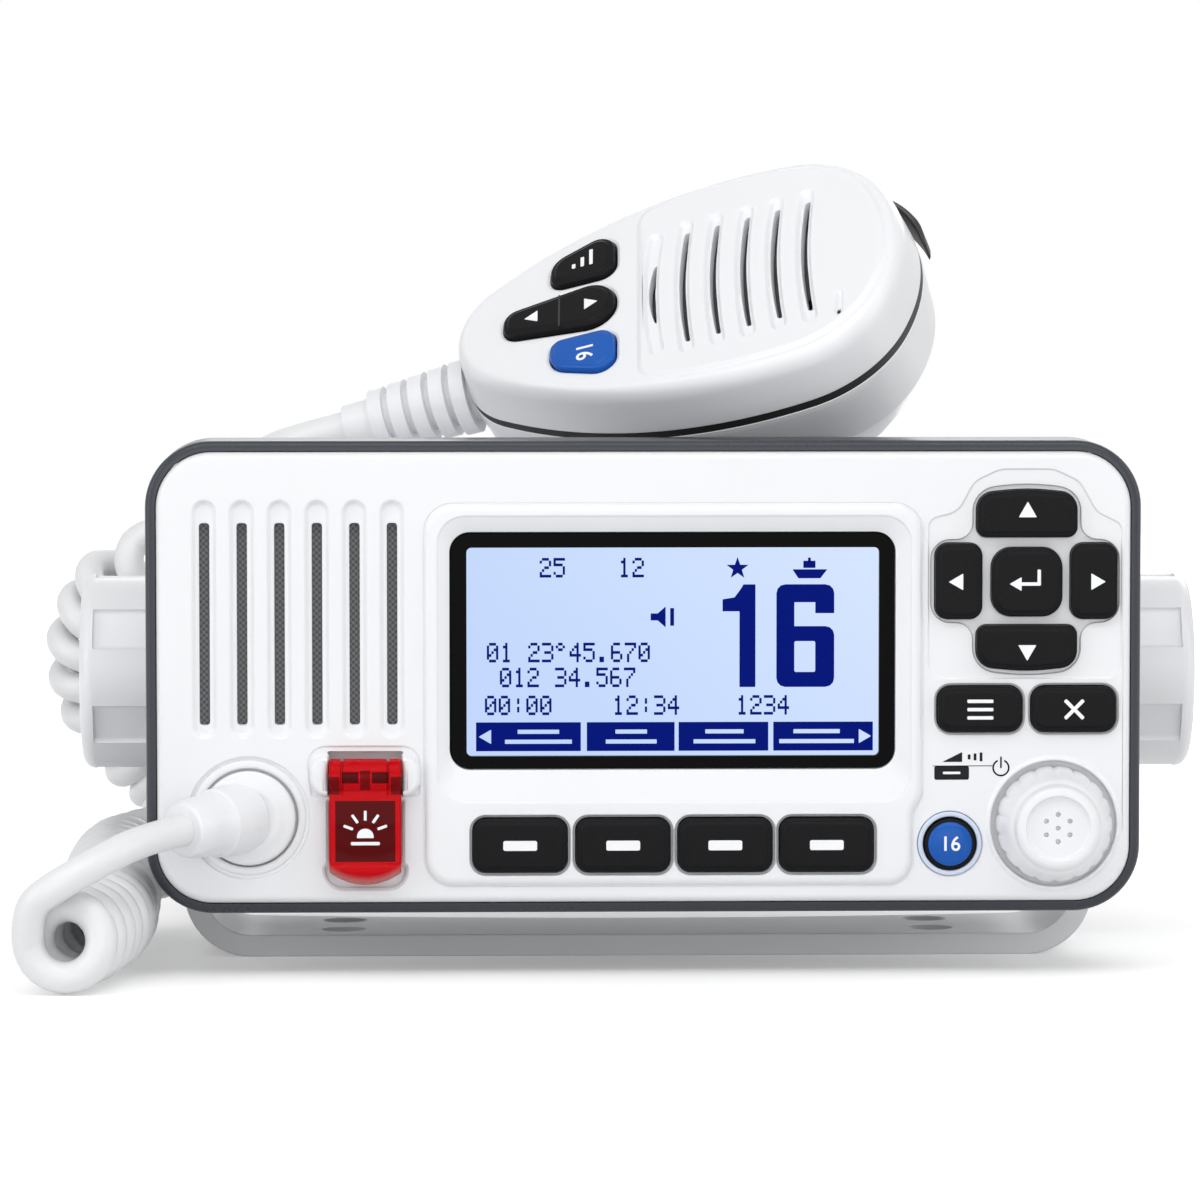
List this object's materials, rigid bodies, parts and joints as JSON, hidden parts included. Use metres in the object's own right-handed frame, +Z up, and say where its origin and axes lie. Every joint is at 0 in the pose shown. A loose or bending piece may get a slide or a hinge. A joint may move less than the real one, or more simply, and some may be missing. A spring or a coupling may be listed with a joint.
{
  "type": "vhf marine radio",
  "caption": "Fixed-mount marine VHF radio on a tilting trunnion bracket, with a wide screen, backlit keys, guarded distress key and a hand microphone on a coiled cord.",
  "frame": {"origin": "on the mounting surface under the bracket's base, midway between its arms and under the tilt axis", "axes": "+X to the right seen from the user, -Y towards the user (the screen faces -Y), +Z up from the mounting surface"},
  "size_m": [0.2177, 0.1618, 0.1461],
  "materials": {
    "bracket_paint": "satin",
    "pad_rubber": "matt",
    "knob_plastic": "satin",
    "steel": "brushed",
    "chassis_paint": "satin",
    "jack_chrome": "plated",
    "board": "matt",
    "module": "matt",
    "cover_white": "satin",
    "band_slate": "satin",
    "lens_glass": "polished",
    "screen": "lit",
    "key_black": "satin",
    "key_blue": "gloss",
    "ring_pale": "gloss",
    "key_red": "gloss",
    "flap_red": "clear tinted",
    "net_grey": "woven",
    "cord_rubber": "satin",
    "white_plastic": "satin"
  },
  "bodies": {
    "bracket": {"bracket": "bracket_paint", "bracket_pads": "pad_rubber"},
    "radio": {"chassis_seal": "pad_rubber", "mic_seal": "pad_rubber", "cable_gland": "pad_rubber", "chassis_screws": "steel", "mic_screws": "steel", "flap_pin": "steel", "chassis": "chassis_paint", "chassis_cover": "chassis_paint", "antenna_jack": "jack_chrome", "main_board": "board", "front_board": "board", "mic_board": "board", "board_modules": "module", "key_switches": "module", "encoder": "module", "speaker": "module", "mic_speaker": "module", "front_cover": "cover_white", "panel_back": "cover_white", "mic_front_shell": "cover_white", "mic_rear_shell": "cover_white", "panel_band": "band_slate", "lens": "lens_glass", "screen_module": "screen", "cord_plug": "white_plastic", "mic_socket": "white_plastic", "hanger_stud": "white_plastic", "channel_ring": "ring_pale", "speaker_net": "net_grey", "cord_leader": "cord_rubber", "cord_curl": "cord_rubber", "cord_tail": "cord_rubber", "mic_boot": "cord_rubber"},
    "clamp_knob_left": {"clamp_knob_left": "knob_plastic", "clamp_stud_left": "steel"},
    "clamp_knob_right": {"clamp_knob_right": "knob_plastic", "clamp_stud_right": "steel"},
    "soft_key_1": {"soft_key_1": "key_black"},
    "soft_key_2": {"soft_key_2": "key_black"},
    "soft_key_3": {"soft_key_3": "key_black"},
    "soft_key_4": {"soft_key_4": "key_black"},
    "pad_up_key": {"pad_up_key": "key_black"},
    "pad_down_key": {"pad_down_key": "key_black"},
    "pad_left_key": {"pad_left_key": "key_black"},
    "pad_right_key": {"pad_right_key": "key_black"},
    "pad_centre_key": {"pad_centre_key": "key_black"},
    "menu_key": {"menu_key": "key_black"},
    "clear_key": {"clear_key": "key_black"},
    "channel_key": {"channel_key": "key_blue"},
    "emergency_key": {"emergency_key": "key_red"},
    "volume_plunger": {"volume_plunger": "steel"},
    "volume_knob": {"volume_knob": "white_plastic", "volume_shaft": "steel"},
    "flap": {"flap": "flap_red"},
    "talk_lever": {"talk_lever": "key_black"},
    "mic_rocker": {"mic_rocker": "key_black"},
    "mic_level_key": {"mic_level_key": "key_black"},
    "mic_channel_key": {"mic_channel_key": "key_blue"}
  },
  "joints": [
    {"name": "tilt", "type": "hinge", "parent": "bracket", "child": "radio", "pos_m": [0, 0, 0.052], "axis": [1, 0, 0], "range_deg": [-8, 12]},
    {"name": "clamp_knob_left_turn", "type": "hinge", "parent": "radio", "child": "clamp_knob_left", "pos_m": [-0.0945, 0, 0.052], "axis": [-1, 0, 0], "continuous": true},
    {"name": "clamp_knob_right_turn", "type": "hinge", "parent": "radio", "child": "clamp_knob_right", "pos_m": [0.0945, 0, 0.052], "axis": [1, 0, 0], "continuous": true},
    {"name": "soft_key_1_press", "type": "slide", "parent": "radio", "child": "soft_key_1", "axis": [0, 1, 0], "range_m": [0, 0.0008], "stiffness_N_per_m": 1500},
    {"name": "soft_key_2_press", "type": "slide", "parent": "radio", "child": "soft_key_2", "axis": [0, 1, 0], "range_m": [0, 0.0008], "stiffness_N_per_m": 1500},
    {"name": "soft_key_3_press", "type": "slide", "parent": "radio", "child": "soft_key_3", "axis": [0, 1, 0], "range_m": [0, 0.0008], "stiffness_N_per_m": 1500},
    {"name": "soft_key_4_press", "type": "slide", "parent": "radio", "child": "soft_key_4", "axis": [0, 1, 0], "range_m": [0, 0.0008], "stiffness_N_per_m": 1500},
    {"name": "pad_up_key_press", "type": "slide", "parent": "radio", "child": "pad_up_key", "axis": [0, 1, 0], "range_m": [0, 0.0008], "stiffness_N_per_m": 1500},
    {"name": "pad_down_key_press", "type": "slide", "parent": "radio", "child": "pad_down_key", "axis": [0, 1, 0], "range_m": [0, 0.0008], "stiffness_N_per_m": 1500},
    {"name": "pad_left_key_press", "type": "slide", "parent": "radio", "child": "pad_left_key", "axis": [0, 1, 0], "range_m": [0, 0.0008], "stiffness_N_per_m": 1500},
    {"name": "pad_right_key_press", "type": "slide", "parent": "radio", "child": "pad_right_key", "axis": [0, 1, 0], "range_m": [0, 0.0008], "stiffness_N_per_m": 1500},
    {"name": "pad_centre_key_press", "type": "slide", "parent": "radio", "child": "pad_centre_key", "axis": [0, 1, 0], "range_m": [0, 0.0008], "stiffness_N_per_m": 1500},
    {"name": "menu_key_press", "type": "slide", "parent": "radio", "child": "menu_key", "axis": [0, 1, 0], "range_m": [0, 0.0008], "stiffness_N_per_m": 1500},
    {"name": "clear_key_press", "type": "slide", "parent": "radio", "child": "clear_key", "axis": [0, 1, 0], "range_m": [0, 0.0008], "stiffness_N_per_m": 1500},
    {"name": "channel_key_press", "type": "slide", "parent": "radio", "child": "channel_key", "axis": [0, 1, 0], "range_m": [0, 0.0008], "stiffness_N_per_m": 1500},
    {"name": "emergency_key_press", "type": "slide", "parent": "radio", "child": "emergency_key", "axis": [0, 1, 0], "range_m": [0, 0.0008], "stiffness_N_per_m": 1500},
    {"name": "volume_press", "type": "slide", "parent": "radio", "child": "volume_plunger", "axis": [0, 1, 0], "range_m": [0, 0.0005], "stiffness_N_per_m": 2500},
    {"name": "volume_turn", "type": "hinge", "parent": "volume_plunger", "child": "volume_knob", "pos_m": [0.0741, -0.052, 0.0276], "axis": [0, -1, 0], "continuous": true},
    {"name": "flap_lift", "type": "hinge", "parent": "radio", "child": "flap", "pos_m": [-0.0504, -0.0527, 0.0365], "axis": [-1, 0, 0], "range_deg": [0, 100], "stiffness_Nm_per_rad": 0.004, "springref_deg": -20.05},
    {"name": "talk_press", "type": "hinge", "parent": "radio", "child": "talk_lever", "pos_m": [0.01901, 0.00957, 0.13541], "axis": [0.3363, 0.6058, -0.7211], "range_deg": [0, 2.2], "stiffness_Nm_per_rad": 2, "springref_deg": -1.15},
    {"name": "mic_rocker_tilt", "type": "hinge", "parent": "radio", "child": "mic_rocker", "pos_m": [-0.0134, -0.01103, 0.11754], "axis": [0.0227, 0.7602, 0.6493], "range_deg": [-3, 3], "stiffness_Nm_per_rad": 0.4},
    {"name": "mic_level_key_press", "type": "slide", "parent": "radio", "child": "mic_level_key", "axis": [0.3363, 0.6058, -0.7211], "range_m": [0, 0.0007], "stiffness_N_per_m": 1500},
    {"name": "mic_channel_key_press", "type": "slide", "parent": "radio", "child": "mic_channel_key", "axis": [0.3363, 0.6058, -0.7211], "range_m": [0, 0.0007], "stiffness_N_per_m": 1500}
  ]
}
